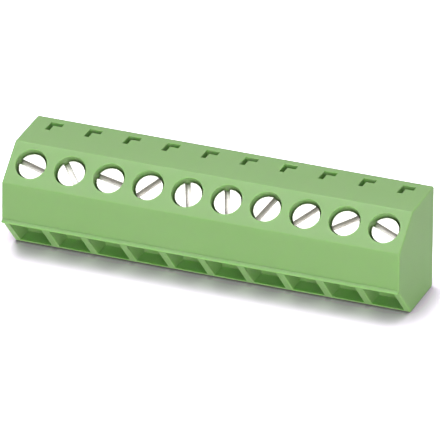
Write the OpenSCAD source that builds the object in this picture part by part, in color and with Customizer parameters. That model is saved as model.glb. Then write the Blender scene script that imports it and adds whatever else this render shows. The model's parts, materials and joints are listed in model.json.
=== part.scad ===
// Screw terminal block for a circuit board, with rising-cage clamps.
// Frame: X runs along the row of poles, the wire side faces -Y, and Z is up.
// The origin lies on the board surface, in the middle of the row of solder pins.
// Sizes are in millimetres.

/* [Row] */
// Number of poles
poles = 10; // [2:1:16]
// Distance from pole to pole
pitch = 5.08; // [5:0.01:7]
// Width of each wire mouth and of the cage well behind it
mouth_w = 4.1; // [4.1:0.05:4.5]
// Wall outside the first and the last mouth
end_wall = 0.84; // [0.6:0.02:2]

/* [Housing outline] */
// Slope of the screw face below the horizontal
slope_angle = 39; // [36:1:42]
// Screw face from its upper edge to the screw axis
slope_above = 2.75; // [2.4:0.05:3.2]
// Screw face from the screw axis to its lower edge
slope_below = 3.04; // [2.6:0.02:3.4]
// Height of the upright front face
front_h = 5.25; // [5:0.05:6]
// Height of the undercut above the board
undercut_h = 4.68; // [4.5:0.02:5.4]
// Depth that the undercut takes from the underside
undercut_run = 4.39; // [4.1:0.01:4.8]
// Wall behind the contacts
back_wall = 1.05; // [0.8:0.05:2]
// Rounding of the long edges
edge_r = 0.3; // [0.1:0.05:0.5]

/* [Wire mouth] */
// Strip of the undercut left above the mouth
lip_w = 0.42; // [0.3:0.02:0.5]
// How far the lip above the mouths stands out of the front face
lip_out = 0.42; // [0.3:0.02:0.5]
// Drop of the lip's nose below the foot of the front face
lip_drop = 0.06; // [0:0.02:0.1]
// Height of the lip above the foot of the front face
lip_h = 0.3; // [0.24:0.02:0.4]
// Depth of the groove above the lip
lip_groove = 0.06; // [0.04:0.01:0.1]
// Rounding of the lip's nose
lip_r = 0.1; // [0.06:0.01:0.12]
// Thickness of the floor under the mouth
floor_t = 0.34; // [0.24:0.02:0.6]
// Depth of that floor, from its front edge to the step
floor_run = 2.2; // [1.6:0.05:2.6]

/* [Top pocket] */
// Length of the pocket's bar, along the row
pocket_len = 1.7; // [1.4:0.05:2.4]
// Width of the pocket's bar
pocket_w = 0.95; // [0.7:0.05:1.4]
// Reach of the pocket's leg, from the bar's back edge
pocket_reach = 2.2; // [1.8:0.05:3]
// Width of the pocket's leg
pocket_leg_w = 0.62; // [0.5:0.02:0.9]
// Depth of the pocket below the top
pocket_depth = 2.4; // [1:0.1:2.6]
// Wall between the pocket and the back face
pocket_wall = 1.15; // [0.8:0.05:1.4]
// Left edge of the pocket, from the pole's middle
pocket_left = 0.7; // [0.4:0.05:1]

/* [Clamp screw] */
// Diameter of the screw's access hole
hole_d = 3.92; // [3.8:0.02:4]
// Diameter of the screw head
head_d = 3.56; // [3.3:0.02:3.6]
// Depth of the head below the screw face
head_recess = 0.7; // [0.3:0.05:0.8]
// Thickness of the head
head_t = 1.3; // [1.2:0.05:1.8]
// Width of the driver slot
slot_w = 0.62; // [0.5:0.02:0.8]
// Depth of the driver slot
slot_depth = 0.75; // [0.5:0.05:0.9]
// Outer diameter of the thread
thread_d = 2.5; // [2.2:0.1:2.6]
// Rise of the thread in one turn
thread_pitch = 0.45; // [0.35:0.05:0.45]
// Turns from open to fully clamped
clamp_turns = 4.5; // [3:0.5:4.5]

/* [Clamp cage] */
// Length of the cage along the wire
cage_len = 3.8; // [3.4:0.05:4]
// Thickness of the threaded wall
cage_head_t = 1.2; // [1:0.05:1.5]
// Thickness of the wall that lifts the wire
cage_base_t = 0.65; // [0.5:0.05:0.9]
// Room for the wire when the clamp is open
wire_gap = 2.375; // [2.2:0.025:2.8]
// Radius of the grip grooves across the lifting wall
groove_r = 0.16; // [0.1:0.02:0.22]

/* [Contact] */
// Thickness of the contact strip
contact_t = 0.75; // [0.6:0.05:0.9]
// Wall between the leg and the lowest corner of the cage well
leg_wall = 0.2; // [0.15:0.05:0.5]
// Inner radius of the bend between bar and leg
bend_r = 0.35; // [0.25:0.05:0.5]
// Width of the solder pin
pin_w = 1; // [0.8:0.05:1.2]
// Length of the solder pin below the board surface
pin_len = 3.5; // [2.6:0.1:4.5]

/* [Clearances] */
// Cage to well, on every side
cage_gap = 0.12; // [0.08:0.01:0.2]
// Thread to cage, radially
thread_gap = 0.05; // [0.03:0.01:0.1]
// Contact bar to cage and to screw tip, and screw to the cage's side walls
bar_gap = 0.08; // [0.05:0.01:0.12]
// Contact to its seat in the housing
seat_gap = 0.04; // [0.02:0.01:0.08]

/* [Hidden] */
$fn = 48;
cut = 1;
face_colour = "#8fb977";
steel_colour = "#dcdcd8";
sleeve_colour = "#b9bab4";
tin_colour = "#cfd2d4";
// how far each slot has been turned, seen from outside and clockwise from the row
slot_turn = [15, 51, 11, -49, 71, 72, -64, -47, -35, 21];

// Distances below the screw face, along the screw axis, with the clamp open
cage_lift = clamp_turns * thread_pitch;
head_under = head_recess + head_t;
well_roof = head_under + 0.2;
cage_top = well_roof + cage_gap + cage_lift;
window_top = cage_top + cage_head_t;
bar_top = window_top + bar_gap;
screw_tip = bar_top - bar_gap / 2;
bar_base = bar_top + contact_t;
window_base = bar_base + wire_gap;
cage_base = window_base + cage_base_t;
well_floor = cage_base + cage_gap;
well_half = cage_len / 2 + cage_gap;
cage_w = mouth_w - 2 * cage_gap;
window_w = thread_d + 2 * bar_gap;
cage_side_t = (cage_w - window_w) / 2;
bar_w = window_w - 2 * bar_gap;

// Outline of the housing across the row, as [Y, Z], worked out from the clamp outwards
leg_y = 0;
back_y = leg_y + contact_t / 2 + seat_gap + back_wall;
well_corner_y = leg_y - contact_t / 2 - seat_gap - leg_wall;
axis_y = well_corner_y - well_half * cos(slope_angle) - well_floor * sin(slope_angle);
axis_z = undercut_h + front_h + slope_below * sin(slope_angle);
axis_point = [axis_y, axis_z];
down_slope = [-cos(slope_angle), -sin(slope_angle)];
outward = [-sin(slope_angle), cos(slope_angle)];
// a point s down the slope and h below the screw face, from the mouth of the screw hole
function in_clamp(s, h) = axis_point + s * down_slope - h * outward;
function depth_below(p) = -(p - axis_point) * outward;
// height of the plane h below the screw face, at a given Y
function height_at(y, h) = axis_z + ((y - axis_y) * sin(slope_angle) - h) / cos(slope_angle);
slope_top = in_clamp(-slope_above, 0);
slope_foot = in_clamp(slope_below, 0);
front_foot = [slope_foot.x, undercut_h];
seat_front = [slope_foot.x + undercut_run, 0];
back_top = [back_y, slope_top.y];
lip_point = front_foot + lip_w * [undercut_run, -undercut_h] / norm([undercut_run, undercut_h]);
// the front face ends in a shallow groove, and below it the lip slopes out over the mouths
groove_top = front_foot + [0, lip_h + 3.4 * lip_groove];
groove_foot = front_foot + [lip_groove, lip_h];
lip_nose = front_foot - [lip_out, lip_drop];
outline = [
    back_top, slope_top, slope_foot,
    groove_top, groove_foot, lip_nose, lip_point,
    seat_front, [back_y, 0]
];
outline_r = [edge_r, edge_r, edge_r, edge_r, lip_r, lip_r, lip_r, edge_r, edge_r];

function pole_x(i) = (i - (poles + 1) / 2) * pitch;
row_half = (poles - 1) * pitch / 2 + mouth_w / 2 + end_wall;
function unit(v) = v / norm(v);
// one corner of an outline as an arc that touches both of its edges
function rounded_corner(before, corner, after, r, steps = 6) =
    let (
        a = unit(before - corner),
        b = unit(after - corner),
        half = acos(a * b) / 2,
        centre = corner + unit(a + b) * r / sin(half),
        from = corner + a * r / tan(half) - centre,
        to = corner + b * r / tan(half) - centre,
        sweep = 180 - 2 * half
    )
    [for (k = [0:steps])
        centre + (from * sin(sweep * (1 - k / steps)) + to * sin(sweep * k / steps)) / sin(sweep)];
function rounded_outline(points, radii) =
    let (n = len(points))
    [for (i = [0:n - 1])
        each rounded_corner(points[(i + n - 1) % n], points[i], points[(i + 1) % n], radii[i])];

function two_digits(i) = i < 10 ? str("0", i) : str(i);
function node_name(kind, i) = str(kind, "_", two_digits(i));

// An outline across the row, extruded along the row between two X positions
module along_row(x0, x1) {
    translate([x0, 0, 0])
        rotate([90, 0, 90])
            linear_extrude(x1 - x0)
                children();
}

// Clamp frame of a pole: Z out of the screw face along the screw, Y inwards along the wire
module clamp_frame(i) {
    translate([pole_x(i), axis_y, axis_z])
        rotate([slope_angle, 0, 0])
            children();
}

module rounded_rectangle(w, h, r) {
    translate([-w / 2 + r, 0])
        square([w - 2 * r, h]);
    translate([-w / 2, r])
        square([w, h - 2 * r]);
    for (x = [-w / 2 + r, w / 2 - r], y = [r, h - r])
        translate([x, y])
            circle(r);
}

// Side section of the cage well, of the wire mouth below it and of the floor in front of the step
module chamber_section() {
    mouth_roof = depth_below(lip_point);
    outside = in_clamp(slope_below + undercut_run + cut, mouth_roof);
    step_y = seat_front.x + floor_run;
    polygon([
        in_clamp(-well_half, well_roof),
        in_clamp(well_half, well_roof),
        in_clamp(well_half, mouth_roof),
        outside,
        [outside.x, floor_t],
        [step_y, floor_t],
        [step_y, height_at(step_y, well_floor)],
        in_clamp(-well_half, well_floor)
    ]);
}

// L-shaped pocket in the top, seen from above
module pocket_outline() {
    translate([-pocket_left, back_y - pocket_wall - pocket_w])
        square([pocket_len, pocket_w]);
    translate([-pocket_left, back_y - pocket_wall - pocket_reach])
        square([pocket_leg_w, pocket_reach]);
}

// Contact strip from the side: the bar that the wire is pressed on, the bend, the leg and the pin
module strip_section(grow) {
    front = well_half + contact_t / 4 + grow;
    leg_back = leg_y + contact_t / 2 + grow;
    leg_front = leg_y - contact_t / 2 - grow;
    upper = bar_top - grow;
    lower = bar_base + grow;
    polygon(concat(
        [in_clamp(front, upper)],
        rounded_corner(
            in_clamp(front, upper),
            [leg_back, height_at(leg_back, upper)],
            [leg_back, -pin_len],
            bend_r + contact_t + grow
        ),
        [[leg_back, -pin_len], [leg_front, -pin_len]],
        rounded_corner(
            [leg_front, -pin_len],
            [leg_front, height_at(leg_front, lower)],
            in_clamp(front, lower),
            bend_r - grow
        ),
        [in_clamp(front, lower)]
    ));
}

// Contact strip from the front: as wide as the bar down to its shoulders, then the solder pin
module strip_front(grow) {
    shoulder = (bar_w - pin_w) / 2;
    tip = pin_w / 4;
    polygon([
        [-bar_w / 2 - grow, back_top.y],
        [bar_w / 2 + grow, back_top.y],
        [bar_w / 2 + grow, floor_t + shoulder],
        [pin_w / 2 + grow, floor_t],
        [pin_w / 2 + grow, tip - pin_len],
        [pin_w / 2 - tip, -pin_len],
        [tip - pin_w / 2, -pin_len],
        [-pin_w / 2 - grow, tip - pin_len],
        [-pin_w / 2 - grow, floor_t],
        [-bar_w / 2 - grow, floor_t + shoulder]
    ]);
}

// The strip of a pole, or its seat where grow is a clearance
module contact_strip(i, grow) {
    intersection() {
        along_row(pole_x(i) - bar_w, pole_x(i) + bar_w)
            strip_section(grow);
        translate([pole_x(i), back_y, 0])
            rotate([90, 0, 0])
                linear_extrude(back_y - front_foot.x)
                    strip_front(grow);
    }
}

// Moulded housing: one extruded outline with a screw hole, a well, a mouth and a pocket per pole
module housing() {
    color(face_colour)
        difference() {
            along_row(-row_half, row_half)
                polygon(rounded_outline(outline, outline_r));
            for (i = [1:poles]) {
                clamp_frame(i)
                    translate([0, 0, -well_roof - cut / 4])
                        cylinder(d = hole_d, h = well_roof + cut);
                along_row(pole_x(i) - mouth_w / 2, pole_x(i) + mouth_w / 2)
                    chamber_section();
                translate([pole_x(i), 0, back_top.y - pocket_depth])
                    linear_extrude(pocket_depth + cut)
                        pocket_outline();
                contact_strip(i, seat_gap);
            }
        }
}

// Slotted clamp screw: it turns in place, with its tip on the contact bar
module clamp_screw(i) {
    rim = 0.12;
    point = thread_d / 8;
    color(steel_colour)
        clamp_frame(i)
            difference() {
                rotate_extrude()
                    polygon([
                        [0, -screw_tip],
                        [thread_d / 2 - point, -screw_tip],
                        [thread_d / 2, point - screw_tip],
                        [thread_d / 2, -head_under],
                        [head_d / 2, -head_under],
                        [head_d / 2, -head_recess - rim],
                        [head_d / 2 - rim, -head_recess],
                        [0, -head_recess]
                    ]);
                rotate([0, 0, -slot_turn[(i - 1) % len(slot_turn)]])
                    translate([-head_d, -slot_w / 2, -head_recess - slot_depth])
                        cube([2 * head_d, slot_w, slot_depth + cut]);
            }
}

// Clamp cage: a closed sleeve whose threaded wall climbs the screw and whose base lifts the wire
module clamp_cage(i) {
    color(sleeve_colour)
        clamp_frame(i)
            difference() {
                translate([0, cage_len / 2, -cage_base])
                    rotate([90, 0, 0])
                        linear_extrude(cage_len)
                            difference() {
                                rounded_rectangle(cage_w, cage_base - cage_top, cage_side_t);
                                translate([0, cage_base_t])
                                    rounded_rectangle(window_w, window_base - window_top, cage_side_t / 3);
                            }
                translate([0, 0, -window_top - cut / 2])
                    cylinder(d = thread_d + 2 * thread_gap, h = cage_head_t + cut);
                for (k = [-1:1])
                    translate([-window_w / 2, k * cage_len / 4, -window_base])
                        rotate([0, 90, 0])
                            cylinder(r = groove_r, h = window_w);
            }
}

// Contact: tinned strip, bent once, with its solder pin
module contact(i) {
    color(tin_colour)
        contact_strip(i, 0);
}

housing();
for (i = [1:poles]) {
    clamp_screw(i);
    clamp_cage(i);
    contact(i);
}
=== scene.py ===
import json
import math

import bmesh
import bpy
import numpy as np
from mathutils import Matrix, Vector


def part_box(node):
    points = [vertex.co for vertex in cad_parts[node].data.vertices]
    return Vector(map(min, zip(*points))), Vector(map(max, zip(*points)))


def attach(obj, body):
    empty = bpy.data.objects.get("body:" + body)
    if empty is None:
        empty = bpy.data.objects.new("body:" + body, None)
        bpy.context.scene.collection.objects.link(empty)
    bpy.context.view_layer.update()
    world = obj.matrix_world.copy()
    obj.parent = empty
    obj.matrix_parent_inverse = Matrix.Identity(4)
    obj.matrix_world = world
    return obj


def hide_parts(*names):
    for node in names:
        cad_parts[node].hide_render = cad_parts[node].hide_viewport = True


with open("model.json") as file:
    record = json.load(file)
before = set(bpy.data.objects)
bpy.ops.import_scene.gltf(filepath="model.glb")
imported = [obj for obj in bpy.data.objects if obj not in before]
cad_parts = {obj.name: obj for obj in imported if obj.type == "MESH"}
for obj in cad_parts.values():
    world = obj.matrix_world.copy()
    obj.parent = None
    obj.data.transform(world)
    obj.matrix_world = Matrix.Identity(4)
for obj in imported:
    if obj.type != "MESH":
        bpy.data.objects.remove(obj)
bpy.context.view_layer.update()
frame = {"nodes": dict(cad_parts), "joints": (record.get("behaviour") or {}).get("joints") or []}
scene = bpy.context.scene
scene.view_settings.view_transform = "Standard"
mm = 0.001
joints = {joint["name"]: joint for joint in frame["joints"]}
poles = sorted(name[-2:] for name in frame["nodes"] if name.startswith("contact_"))
print("frame loaded:", len(frame["nodes"]), "solids,", len(poles), "poles")

# Camera: a long lens far off, so the row hardly narrows towards its far end
photoView = {
    "azimuth": 20.734,      # degrees
    "elevation": 26.986,
    "roll": 0.543,
    "distance": 1.46205,    # metres
    "right": -1.208 * mm,   # moved sideways and up instead of a lens shift
    "up": 4.200 * mm,
    "focalPixels": 12000,   # focal length, in pixels of a picture 440 wide
    "picturePixels": 440,
    "sensor": 36.0,         # mm
    "clip": (0.1, 20),      # metres
}


def placeCamera(view):
    azimuth, elevation, roll = (math.radians(view[k]) for k in ("azimuth", "elevation", "roll"))
    back = Vector((math.sin(azimuth) * math.cos(elevation),
                   -math.cos(azimuth) * math.cos(elevation), math.sin(elevation)))
    level = Vector((0, 0, 1)).cross(back).normalized()
    right = math.cos(roll) * level + math.sin(roll) * back.cross(level)
    up = back.cross(right)
    lens = bpy.data.cameras.new("photoCamera")
    lens.sensor_width = view["sensor"]
    lens.lens = view["focalPixels"] * view["sensor"] / view["picturePixels"]
    lens.clip_start, lens.clip_end = view["clip"]
    camera = bpy.data.objects.new("photoCamera", lens)
    scene.collection.objects.link(camera)
    place = view["distance"] * back + view["right"] * right + view["up"] * up
    turn = Matrix((right, up, back)).transposed().to_4x4()
    camera.matrix_world = Matrix.Translation(place) @ turn
    scene.camera = camera


placeCamera(photoView)
print("camera placed")


def linearColour(code):
    # sRGB hex to linear light: a straight foot below 0.04045, a power of 2.4 above it
    values = np.array([int(code[k:k + 2], 16) for k in (1, 3, 5)]) / 255
    linear = np.where(values <= 0.04045, values / 12.92, ((values + 0.055) / 1.055) ** 2.4)
    return (*linear.tolist(), 1.0)


def addNode(tree, kind, inputs=None, **settings):
    node = tree.nodes.new(kind)
    for name, value in settings.items():
        setattr(node, name, value)
    for name, value in (inputs or {}).items():
        if isinstance(value, bpy.types.NodeSocket):
            tree.links.new(value, node.inputs[name])
        else:
            node.inputs[name].default_value = value
    return node


def newMaterial(name):
    material = bpy.data.materials.new(name)
    material.use_nodes = True
    material.node_tree.nodes.clear()
    return material, material.node_tree


noiseLow, noiseHigh = 0.3, 0.7  # most of a noise lies between these

# Polyamide, injection moulded in an eroded mould: satin, with a soft broad gloss, a grain that
# only just shows and a slight drift of colour along the flow
polyamide = {
    "colour": "#95be7a",
    "flowColour": "#8fba72",
    "driftSize": 8.0,       # mm, width of a flow streak
    "driftStretch": (0.4, 1.0, 1.2),    # streaks run along the row
    "grainSize": 0.16,      # mm; an eroded mould is finer, this is drawn coarse enough to show
    "grainDepth": 0.004,    # mm
    "smoothest": 0.34,
    "roughest": 0.44,
    "ior": 1.53,
    "specular": 0.42,       # a little under a polished plastic
    "glowShare": 0.8,       # share of the light that wanders inside the plastic
    "glowDepth": (0.5, 0.8, 0.35),      # mm, how far red, green and blue get
}


def makePolyamide(look):
    material, tree = newMaterial("mouldedPolyamide")
    place = addNode(tree, "ShaderNodeTexCoord").outputs["Object"]
    flow = addNode(tree, "ShaderNodeMapping", {"Vector": place, "Scale": look["driftStretch"]})
    drift = addNode(tree, "ShaderNodeTexNoise", {
        "Vector": flow.outputs["Vector"], "Scale": 1 / (look["driftSize"] * mm), "Detail": 3.0})
    grain = addNode(tree, "ShaderNodeTexNoise", {
        "Vector": place, "Scale": 1 / (look["grainSize"] * mm), "Detail": 2.0})
    colour = addNode(tree, "ShaderNodeMix", {
        0: drift.outputs["Fac"],
        6: linearColour(look["colour"]), 7: linearColour(look["flowColour"])}, data_type="RGBA")
    gloss = addNode(tree, "ShaderNodeMapRange", {
        "Value": grain.outputs["Fac"], 1: noiseLow, 2: noiseHigh,
        3: look["smoothest"], 4: look["roughest"]})
    relief = addNode(tree, "ShaderNodeBump", {
        "Height": grain.outputs["Fac"], "Distance": look["grainDepth"] * mm, "Strength": 1.0})
    body = addNode(tree, "ShaderNodeBsdfPrincipled", {
        "Base Color": colour.outputs[2], "Roughness": gloss.outputs["Result"],
        "Normal": relief.outputs["Normal"], "IOR": look["ior"],
        "Specular IOR Level": look["specular"], "Subsurface Weight": look["glowShare"],
        "Subsurface Radius": look["glowDepth"], "Subsurface Scale": mm})
    addNode(tree, "ShaderNodeOutputMaterial", {"Surface": body.outputs["BSDF"]})
    return material


# Steel screw, turned and zinc plated: bright, with the rings of the turning tool on its head and
# the streaks of the saw in its slot
zincScrew = {
    "colour": "#cac9c5",
    "dullColour": "#b5b4ae",
    "cloudSize": 0.9,       # mm
    "ringSpacing": 0.11,    # mm; tool marks are finer, these are drawn coarse enough to show
    "ringDepth": 0.0016,    # mm
    "smoothest": 0.22,
    "roughest": 0.34,
    "slotColour": "#e6e4df",
    "sawColour": "#aaa7a1",
    "slotRoughness": 0.46,
    "sawSpacing": 0.08,     # mm, across the slot
    "sawLength": 2.0,       # mm
    "sawSpan": (0.35, 0.65),    # part of the noise from no streak to a full one
    "slotFrom": -0.76,      # mm from the screw face, where the slot begins
    "slotTo": -0.90,
}


def makeZincScrew(look):
    material, tree = newMaterial("turnedZincPlatedSteel")
    # mm from the screw's own axis
    place = addNode(tree, "ShaderNodeAttribute", attribute_name="screwPlace").outputs["Vector"]
    cloud = addNode(tree, "ShaderNodeTexNoise", {
        "Vector": place, "Scale": 1 / look["cloudSize"], "Detail": 4.0})
    # at scale 1 a wave comes back every pi / 10
    rings = addNode(tree, "ShaderNodeTexWave", {
        "Vector": place, "Scale": math.pi / 10 / look["ringSpacing"], "Distortion": 0.6,
        "Detail": 2.0, "Detail Scale": 1.5}, wave_type="RINGS", rings_direction="Z")
    colour = addNode(tree, "ShaderNodeMix", {
        0: cloud.outputs["Fac"],
        6: linearColour(look["colour"]), 7: linearColour(look["dullColour"])}, data_type="RGBA")
    gloss = addNode(tree, "ShaderNodeMapRange", {
        "Value": cloud.outputs["Fac"], 1: noiseLow, 2: noiseHigh,
        3: look["smoothest"], 4: look["roughest"]})
    height = addNode(tree, "ShaderNodeSeparateXYZ", {0: place}).outputs["Z"]
    slot = addNode(tree, "ShaderNodeMapRange", {
        "Value": height, 1: look["slotFrom"], 2: look["slotTo"]})
    sawPitch = 1 / look["sawSpacing"]
    along = addNode(tree, "ShaderNodeMapping", {
        "Vector": place, "Scale": (1 / look["sawLength"], sawPitch, sawPitch)})
    saw = addNode(tree, "ShaderNodeTexNoise", {
        "Vector": along.outputs["Vector"], "Scale": 1.0, "Detail": 2.0})
    streaks = addNode(tree, "ShaderNodeMapRange", {
        "Value": saw.outputs["Fac"], 1: look["sawSpan"][0], 2: look["sawSpan"][1]})
    sawn = addNode(tree, "ShaderNodeMix", {
        0: streaks.outputs["Result"],
        6: linearColour(look["slotColour"]), 7: linearColour(look["sawColour"])}, data_type="RGBA")
    plated = addNode(tree, "ShaderNodeMix", {
        0: slot.outputs["Result"], 6: colour.outputs[2], 7: sawn.outputs[2]}, data_type="RGBA")
    dulled = addNode(tree, "ShaderNodeMapRange", {
        "Value": slot.outputs["Result"], 3: gloss.outputs["Result"], 4: look["slotRoughness"]})
    relief = addNode(tree, "ShaderNodeBump", {
        "Height": rings.outputs["Fac"], "Distance": look["ringDepth"] * mm, "Strength": 1.0})
    body = addNode(tree, "ShaderNodeBsdfPrincipled", {
        "Base Color": plated.outputs[2], "Roughness": dulled.outputs["Result"],
        "Normal": relief.outputs["Normal"], "Metallic": 1.0})
    addNode(tree, "ShaderNodeOutputMaterial", {"Surface": body.outputs["BSDF"]})
    return material


# Steel strip, stamped, folded and zinc plated: duller than the screw, with rolling streaks that
# run along the wire
zincSleeve = {
    "colour": "#c2c3bd",
    "dullColour": "#aaaba5",
    "streakWidth": 0.12,    # mm
    "streakLength": 2.5,    # mm
    "streakDepth": 0.002,   # mm
    "smoothest": 0.30,
    "roughest": 0.46,
}

# Copper alloy strip, stamped, bent and hot tinned: soft white gloss with faint spangles
tinnedStrip = {
    "colour": "#d4d6d7",
    "dullColour": "#c0c4c7",
    "streakWidth": 0.35,    # mm, width of a spangle
    "streakLength": 0.8,    # mm
    "streakDepth": 0.0015,  # mm
    "smoothest": 0.26,
    "roughest": 0.42,
}


def makeStripMetal(name, look, tilt):
    material, tree = newMaterial(name)
    place = addNode(tree, "ShaderNodeTexCoord").outputs["Object"]
    width, length = look["streakWidth"] * mm, look["streakLength"] * mm
    along = addNode(tree, "ShaderNodeMapping", {
        "Vector": place, "Rotation": (-tilt, 0, 0), "Scale": (width, length, width)},
        vector_type="TEXTURE")
    streak = addNode(tree, "ShaderNodeTexNoise", {
        "Vector": along.outputs["Vector"], "Scale": 1.0, "Detail": 3.0})
    colour = addNode(tree, "ShaderNodeMix", {
        0: streak.outputs["Fac"],
        6: linearColour(look["colour"]), 7: linearColour(look["dullColour"])}, data_type="RGBA")
    gloss = addNode(tree, "ShaderNodeMapRange", {
        "Value": streak.outputs["Fac"], 1: noiseLow, 2: noiseHigh,
        3: look["smoothest"], 4: look["roughest"]})
    relief = addNode(tree, "ShaderNodeBump", {
        "Height": streak.outputs["Fac"], "Distance": look["streakDepth"] * mm, "Strength": 1.0})
    body = addNode(tree, "ShaderNodeBsdfPrincipled", {
        "Base Color": colour.outputs[2], "Roughness": gloss.outputs["Result"],
        "Normal": relief.outputs["Normal"], "Metallic": 1.0})
    addNode(tree, "ShaderNodeOutputMaterial", {"Surface": body.outputs["BSDF"]})
    return material


slopeAngle = math.radians(39)   # of the screw face
mouldedPolyamide = makePolyamide(polyamide)
turnedZinc = makeZincScrew(zincScrew)
sleeveZinc = makeStripMetal("stampedZincPlatedSteel", zincSleeve, slopeAngle)
stripTin = makeStripMetal("tinnedCopperAlloy", tinnedStrip, slopeAngle)
print("materials made")

# Copies of the solids, for the pieces that keep the solid's own shape
solidCopy = {
    "mergeWithin": 0.002 * mm,
    "flatWithin": 0.4,      # degrees
    "dropped": ("custom_normal", "UVMap"),  # layers that a copy doesn't need
}


def addPiece(name, mesh, material, body, slot, *nodes):
    mesh.materials.clear()
    mesh.materials.append(material)
    piece = bpy.data.objects.new(name, mesh)
    scene.collection.objects.link(piece)
    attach(piece, body)
    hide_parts(*nodes)
    return piece


def mergedCopy(node):
    # the solid's loose triangles, merged and joined into flat faces
    work = bmesh.new()
    work.from_mesh(frame["nodes"][node].data)
    bmesh.ops.remove_doubles(work, verts=work.verts, dist=solidCopy["mergeWithin"])
    bmesh.ops.dissolve_limit(work, angle_limit=math.radians(solidCopy["flatWithin"]),
                             verts=work.verts, edges=work.edges)
    return work


def finishCopy(work, name, sharpAngle):
    mesh = bpy.data.meshes.new(name)
    work.to_mesh(mesh)
    work.free()
    for attribute in [a.name for a in mesh.attributes if a.name in solidCopy["dropped"]]:
        mesh.attributes.remove(mesh.attributes[attribute])
    mesh.shade_smooth()
    mesh.set_sharp_from_angle(angle=sharpAngle)
    return mesh


# Housing: the moulded block, with the small rounds that a mould leaves on its rims and ends
housing = {
    "endRound": 0.20,       # mm, round of the end faces
    "rimRound": 0.09,       # mm, round of holes, mouths and pockets
    "skinGap": 0.002,       # mm, how near to the skin a rim lies
    "slopeBelow": 3.04,     # mm, from a screw's axis down the slope to the front face
    "undercutHeight": 4.68,     # mm
    "undercutRun": 4.39,    # mm, from the front face back to the underside
    "sharpAngle": 30,       # degrees
    "segments": 3,
}


def makeHousing(look):
    work = mergedCopy("housing")
    low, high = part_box("housing")
    rounds = work.edges.layers.float.new("bevel_weight_edge")
    gap = look["skinGap"] * mm
    front = Vector((0, -math.sin(slopeAngle), math.cos(slopeAngle)))
    anchor = Vector(joints["screw_turn_01"]["pos_m"])
    below = Vector((0, -look["undercutHeight"], -look["undercutRun"])).normalized()
    seatRun = look["undercutRun"] - look["slopeBelow"] * math.cos(slopeAngle)
    seat = Vector((0, anchor.y + seatRun * mm, 0))
    sharp = math.radians(look["sharpAngle"])

    def onEnd(vertex):
        return min(vertex.co.x - low.x, high.x - vertex.co.x) < gap

    def onSkin(vertex):
        place = vertex.co
        onSlope = abs((place - anchor).dot(front)) < gap
        onUndercut = abs((place - seat).dot(below)) < gap
        return onSlope or onUndercut or high.z - place.z < gap

    for edge in work.edges:
        if len(edge.link_faces) != 2 or not edge.is_convex or edge.calc_face_angle() < sharp:
            continue
        if all(onEnd(vertex) for vertex in edge.verts):
            edge[rounds] = 1.0
        elif all(onSkin(vertex) for vertex in edge.verts):
            edge[rounds] = look["rimRound"] / look["endRound"]
    mesh = finishCopy(work, "housing", sharp)
    piece = addPiece("housing_moulding", mesh, mouldedPolyamide, "block", "moulded_polyamide",
                     "housing")
    bevel = piece.modifiers.new("mouldRounds", "BEVEL")
    bevel.limit_method = "WEIGHT"
    bevel.offset_type = "OFFSET"
    bevel.width = look["endRound"] * mm
    bevel.segments = look["segments"]
    bevel.use_clamp_overlap = False
    bevel.harden_normals = True


makeHousing(housing)
print("housing made")

# Clamp screws: slotted cheese heads on a fine thread, each slot at its own angle
clampScrew = {
    "headDiameter": 3.56,   # mm, as all lengths here
    "headRecess": 0.7,      # from the screw face
    "headThickness": 1.3,
    "rimRound": 0.13,
    "slotWidth": 0.62,
    "slotDepth": 0.75,
    "slotRound": 0.045,
    "underRound": 0.08,
    "edgeBand": 0.03,       # a narrow row of faces beside each round, so that the flats stay flat
    "topRings": (0.6, 0.3, 0.0),    # rows on the flat top, as shares of its outline
    "threadDiameter": 2.5,
    "threadPitch": 0.45,
    "threadDepth": 0.24,
    "threadFlat": 0.14,     # share of the ridge's wave that is cut off at crest and root
    "neckLength": 0.35,
    "neckPlain": 0.4,       # share of the neck with no thread
    "neckFlare": (0.06, 0.02),      # how far the neck widens towards the head
    "tip": 5.585,           # below the screw face
    "tipTaper": 0.31,
    "tipRings": (0.55, 0.0),        # rows on the flat tip, as shares of its radius
    "slotTurn": (15, 51, 11, -49, 71, 72, -64, -47, -35, 21),   # degrees clockwise from the row
    "sharpAngle": 38,       # degrees
    "mergeWithin": 1e-4,
    "arcSteps": 32,
    "slotSteps": 6,
    "chordSteps": 16,
    "roundSteps": 5,
    "stepsPerTurn": 12,
}


def gridFaces(rows, columns, closed):
    # a quad between each four neighbours of a grid, with the last column joined to the first if
    # closed
    lastColumn = columns if closed else columns - 1
    row, column = np.meshgrid(np.arange(rows - 1), np.arange(lastColumn), indexing="ij")
    following = (column + 1) % columns
    quads = (row * columns + column, row * columns + following,
             (row + 1) * columns + following, (row + 1) * columns + column)
    return np.stack(quads, -1).reshape(-1, 4)


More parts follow.
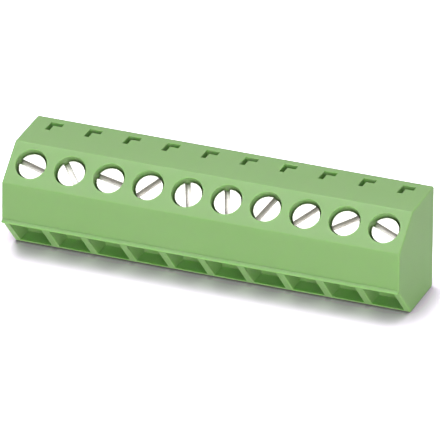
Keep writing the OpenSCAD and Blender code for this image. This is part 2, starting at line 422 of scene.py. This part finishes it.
def screwSurfaces(look):
    radius, slotHalf = look["headDiameter"] / 2, look["slotWidth"] / 2
    top, floor = -look["headRecess"], -look["headRecess"] - look["slotDepth"]
    under = -look["headRecess"] - look["headThickness"]
    slotAngle = math.asin(slotHalf / radius)
    rimRound, slotRound, underRound = look["rimRound"], look["slotRound"], look["underRound"]
    band = look["edgeBand"]
    quarter = np.linspace(0, math.pi / 2, look["roundSteps"] + 1)
    drawIn, drop = 1 - np.cos(quarter), 1 - np.sin(quarter)

    # half of the head: at every level an arc of the rim is closed by a chord along the slot; going
    # up the levels both draw in on a quarter round, and then the flat top shrinks to its middle
    height = np.concatenate([[floor, top - rimRound - band], top - rimRound * drop, [top]])
    rimIn = np.concatenate([[0, 0], rimRound * drawIn, [rimRound + band]])
    slotIn = np.concatenate([[0, 0], slotRound * drawIn, [slotRound + band]])
    arcRadius, chordY = radius - rimIn, slotHalf + slotIn
    start = np.arcsin(chordY / arcRadius)[:, None]
    arc = start + (math.pi - 2 * start) * np.linspace(0, 1, look["arcSteps"] + 1)
    along = np.linspace(-1, 1, look["chordSteps"] + 1)[1:-1]
    chordX = np.sqrt(arcRadius ** 2 - chordY ** 2)[:, None] * along
    chordY = np.broadcast_to(chordY[:, None], chordX.shape)
    x = np.concatenate([arcRadius[:, None] * np.cos(arc), chordX], 1)
    y = np.concatenate([arcRadius[:, None] * np.sin(arc), chordY], 1)
    half = np.stack([x, y, np.broadcast_to(height[:, None], x.shape)], -1)
    middle = np.array([0, (slotHalf + radius) / 2, top])
    shrink = np.array(look["topRings"])[:, None, None]
    half = np.concatenate([half, middle + shrink * (half[-1] - middle)])
    otherHalf = half * (-1, -1, 1)

    # slot floor: rows across the slot, each as long as the head is wide there
    across = radius * np.sin(np.linspace(-slotAngle, slotAngle, look["slotSteps"] + 1))
    reach = np.sqrt(radius ** 2 - across ** 2)
    slotX = reach[:, None] * np.linspace(-1, 1, look["chordSteps"] + 1)
    slotY = np.broadcast_to(across[:, None], slotX.shape)
    slotFloor = np.stack([slotX, slotY, np.full(slotX.shape, floor)], -1)

    # the rest is turned: a radius for each height and angle, with the angles shared with the halves
    ends = np.linspace(-slotAngle, slotAngle, look["slotSteps"] + 1)[:-1]
    sweep = np.linspace(0, 1, look["arcSteps"] + 1)[:-1]
    sides = slotAngle + (math.pi - 2 * slotAngle) * sweep
    angle = np.concatenate([ends, sides, ends + math.pi, sides + math.pi])
    threadRadius = look["threadDiameter"] / 2
    rootRadius = threadRadius - look["threadDepth"]
    headHeight = np.concatenate([
        [floor, under + underRound + band], under + underRound * drop, [under, under - band]])
    headRadius = np.concatenate([
        [radius, radius], radius - underRound * drawIn, rootRadius + np.array(look["neckFlare"])])
    headTurned = np.repeat(headRadius[:, None], len(angle), 1)

    # thread: a helical ridge, its height a flat-topped triangle wave of (height - pitch * turns),
    # fading into the neck under the head and cut by the taper of the tip
    first, last = under - 2 * band, -look["tip"]
    steps = int((first - last) / look["threadPitch"] * look["stepsPerTurn"])
    threadHeight = np.linspace(first, last, steps)
    turns = threadHeight[:, None] / look["threadPitch"] - angle / (2 * math.pi)
    wave, flat = np.abs(2 * (turns % 1) - 1), look["threadFlat"]
    ridge = np.clip((wave - flat) / (1 - 2 * flat), 0, 1)
    fade = np.clip((under - threadHeight) / look["neckLength"] - look["neckPlain"], 0, 1)[:, None]
    taper = threadRadius - look["tipTaper"] + (threadHeight - last)[:, None]
    threaded = np.minimum(rootRadius + look["threadDepth"] * ridge * fade, taper)
    tipTurned = np.array(look["tipRings"])[:, None] * threaded[-1]
    height = np.concatenate([headHeight, threadHeight, [last] * len(look["tipRings"])])
    turned = np.concatenate([headTurned, threaded, tipTurned])
    height = np.broadcast_to(height[:, None], turned.shape)
    shaft = np.stack([turned * np.cos(angle), turned * np.sin(angle), height], -1)
    return [(half, True), (otherHalf, True), (slotFloor, False), (shaft, True)]


def makeScrews(look):
    points, faces, count = [], [], 0
    for surface, closed in screwSurfaces(look):
        points.append(surface.reshape(-1, 3))
        faces.append(gridFaces(*surface.shape[:2], closed) + count)
        count += len(points[-1])
    points, faces = np.concatenate(points), np.concatenate(faces)
    for number, pole in enumerate(poles):
        mesh = bpy.data.meshes.new("screw_" + pole)
        mesh.from_pydata(points.tolist(), [], faces.tolist())
        work = bmesh.new()
        work.from_mesh(mesh)
        bmesh.ops.remove_doubles(work, verts=work.verts, dist=look["mergeWithin"])
        bmesh.ops.recalc_face_normals(work, faces=work.faces)
        work.to_mesh(mesh)
        work.free()
        place = np.empty(3 * len(mesh.vertices), np.float32)
        mesh.vertices.foreach_get("co", place)
        mesh.attributes.new("screwPlace", "FLOAT_VECTOR", "POINT").data.foreach_set("vector", place)
        mesh.shade_smooth()
        mesh.set_sharp_from_angle(angle=math.radians(look["sharpAngle"]))
        slotTurn = look["slotTurn"][number % len(look["slotTurn"])]
        turn = Matrix.Rotation(-math.radians(slotTurn), 4, "Z")
        lean = Matrix.Rotation(slopeAngle, 4, "X")
        seat = Matrix.Translation(joints["screw_turn_" + pole]["pos_m"])
        mesh.transform(seat @ lean @ turn @ Matrix.Scale(mm, 4))
        addPiece("slotted_screw_" + pole, mesh, turnedZinc, "screw_" + pole, "plated_screw_steel",
                 "clamp_screw_" + pole)


makeScrews(clampScrew)
print("screws made")

# Cages and contacts: sheared and folded strip, with the edges just broken
stripEdges = {
    "round": 0.05,          # mm
    "sharpAngle": 30,       # degrees
    "segments": 2,
}


def makeStripPieces(look):
    kinds = (("clamp_cage_", "lifting_cage_", "cage_", sleeveZinc, "plated_sleeve_steel"),
             ("contact_", "contact_strip_", None, stripTin, "tinned_copper_alloy"))
    sharp = math.radians(look["sharpAngle"])
    for node, name, body, material, slot in kinds:
        for pole in poles:
            mesh = finishCopy(mergedCopy(node + pole), name + pole, sharp)
            carrier = body + pole if body else "block"
            piece = addPiece(name + pole, mesh, material, carrier, slot, node + pole)
            bevel = piece.modifiers.new("brokenEdges", "BEVEL")
            bevel.limit_method = "ANGLE"
            bevel.angle_limit = sharp
            bevel.width = look["round"] * mm
            bevel.segments = look["segments"]
            bevel.harden_normals = True


makeStripPieces(stripEdges)
print("cages and contacts made")

# Surround: a weak white light from all round, stronger overhead. The camera sees it white, and
# mirrors see it white in front and overhead and greyer behind
surround = {
    "strength": 0.08,
    "lean": (0, 0, 0.3),
    "mirrorWhite": 0.7,
    "mirrorLean": (0, -0.35, 0.3),
}

# Table: pale and matt. The camera sees it exposed brighter than the block, so that it is white away
# from the block. Beside the block it keeps the block's real shadow, deepened by a painted contact
# shade: its colour darkens where the block hides it close by
tableTop = {
    "side": 4.0,            # metres
    "height": -0.02 * mm,   # clear of the underside of the block
    "colour": "#dcdcdc",
    "glow": 0.33,           # strength of the light that it throws up at the block
    "gain": 2.15,           # how much brighter it is exposed
    "clearTint": (1.0, 0.905, 1.06),    # takes out the green that the block throws on it
    "contactTint": (0.06, 0.015, 0.07),     # painted shade: the table's colour where the block hides it close by
    "contactReach": 4.6,    # mm, how far out the painted shade reaches
    "contactFall": 1.6,     # how steeply the painted shade deepens
}

# Lamps: a soft box above the screw heads, a broader one behind, and a card in front that shines
# into the wire mouths; places and sizes in metres, powers in watts
lamps = {
    "softBox": {
        "place": (-0.14, -0.119, 0.676), "aim": (0, -0.005, 0.005),
        "size": (0.46, 0.46), "power": 1.9},
    "backBox": {
        "place": (-0.05, 0.30, 0.62), "aim": (0, -0.004, 0.006),
        "size": (0.9, 0.7), "power": 2.6},
    "frontCard": {
        "place": (0.40, -0.87, 0.29), "aim": (0, -0.004, 0.006),
        "size": (0.7, 0.3), "power": 5.5},
}
white = (1, 1, 1, 1)


def seenDirectly(tree):
    # 1 for rays from the camera, a mirror or glass, and 0 for rays that light the object
    path = addNode(tree, "ShaderNodeLightPath")
    seen = path.outputs["Is Camera Ray"]
    for kind in ("Is Glossy Ray", "Is Transmission Ray"):
        seen = addNode(tree, "ShaderNodeMath", {0: seen, 1: path.outputs[kind]},
                       operation="ADD", use_clamp=True).outputs[0]
    return seen


def makeSurround(look):
    world = bpy.data.worlds.new("studioSurround")
    scene.world = world
    world.use_nodes = True
    tree = world.node_tree
    tree.nodes.clear()
    direction = addNode(tree, "ShaderNodeTexCoord").outputs["Generated"]
    lean = addNode(tree, "ShaderNodeVectorMath", {0: direction, 1: look["lean"]},
                   operation="DOT_PRODUCT")
    strength = addNode(tree, "ShaderNodeMath", {
        0: lean.outputs["Value"], 1: look["strength"], 2: look["strength"]},
        operation="MULTIPLY_ADD")
    thrown = addNode(tree, "ShaderNodeBackground", {
        "Color": white, "Strength": strength.outputs[0]})
    facing = addNode(tree, "ShaderNodeVectorMath", {0: direction, 1: look["mirrorLean"]},
                     operation="DOT_PRODUCT")
    mirrored = addNode(tree, "ShaderNodeMath", {
        0: facing.outputs["Value"], 1: look["mirrorWhite"]}, operation="ADD", use_clamp=True)
    path = addNode(tree, "ShaderNodeLightPath")
    shown = addNode(tree, "ShaderNodeMath", {
        0: mirrored.outputs[0], 1: path.outputs["Is Camera Ray"]}, operation="MAXIMUM")
    backdrop = addNode(tree, "ShaderNodeBackground", {
        "Color": white, "Strength": shown.outputs[0]})
    mixed = addNode(tree, "ShaderNodeMixShader", {
        0: seenDirectly(tree), 1: thrown.outputs[0], 2: backdrop.outputs[0]})
    addNode(tree, "ShaderNodeOutputWorld", {"Surface": mixed.outputs[0]})


def makeTable(look):
    material, tree = newMaterial("paleTable")
    path = addNode(tree, "ShaderNodeLightPath")
    matt = addNode(tree, "ShaderNodeBsdfDiffuse", {"Color": linearColour(look["colour"])})
    thrown = addNode(tree, "ShaderNodeMath", {
        0: seenDirectly(tree), 1: -look["glow"], 2: look["glow"]}, operation="MULTIPLY_ADD")
    glow = addNode(tree, "ShaderNodeEmission", {"Color": white, "Strength": thrown.outputs[0]})
    plain = addNode(tree, "ShaderNodeAddShader", {0: matt.outputs[0], 1: glow.outputs[0]})
    # painted contact shade: the colour shown to the camera darkens towards the block, by how much
    # of the space close by the block fills
    clear = addNode(tree, "ShaderNodeAmbientOcclusion", {"Distance": look["contactReach"] * mm})
    steep = addNode(tree, "ShaderNodeMath", {0: clear.outputs["AO"], 1: look["contactFall"]},
                    operation="POWER")
    contact, away = ((*(look["gain"] * value for value in look[tint]), 1)
                     for tint in ("contactTint", "clearTint"))
    shade = addNode(tree, "ShaderNodeMix", {0: steep.outputs[0], 6: contact, 7: away},
                    data_type="RGBA")
    exposed = addNode(tree, "ShaderNodeBsdfDiffuse", {"Color": shade.outputs[2]})
    surface = addNode(tree, "ShaderNodeMixShader", {
        0: path.outputs["Is Camera Ray"], 1: plain.outputs[0], 2: exposed.outputs[0]})
    addNode(tree, "ShaderNodeOutputMaterial", {"Surface": surface.outputs[0]})
    side, level = look["side"] / 2, look["height"]
    corners = [(-side, -side, level), (side, -side, level),
               (side, side, level), (-side, side, level)]
    mesh = bpy.data.meshes.new("tableTop")
    mesh.from_pydata(corners, [], [(0, 1, 2, 3)])
    mesh.materials.append(material)
    table = bpy.data.objects.new("tableTop", mesh)
    scene.collection.objects.link(table)


def makeLamps(looks):
    for name, look in looks.items():
        lamp = bpy.data.lights.new(name, "AREA")
        lamp.shape = "RECTANGLE"
        lamp.size, lamp.size_y = look["size"]
        lamp.energy = look["power"]
        holder = bpy.data.objects.new(name, lamp)
        scene.collection.objects.link(holder)
        place = Vector(look["place"])
        turn = (place - Vector(look["aim"])).to_track_quat("Z", "Y").to_matrix().to_4x4()
        holder.matrix_world = Matrix.Translation(place) @ turn


makeSurround(surround)
makeTable(tableTop)
makeLamps(lamps)
print("studio made")
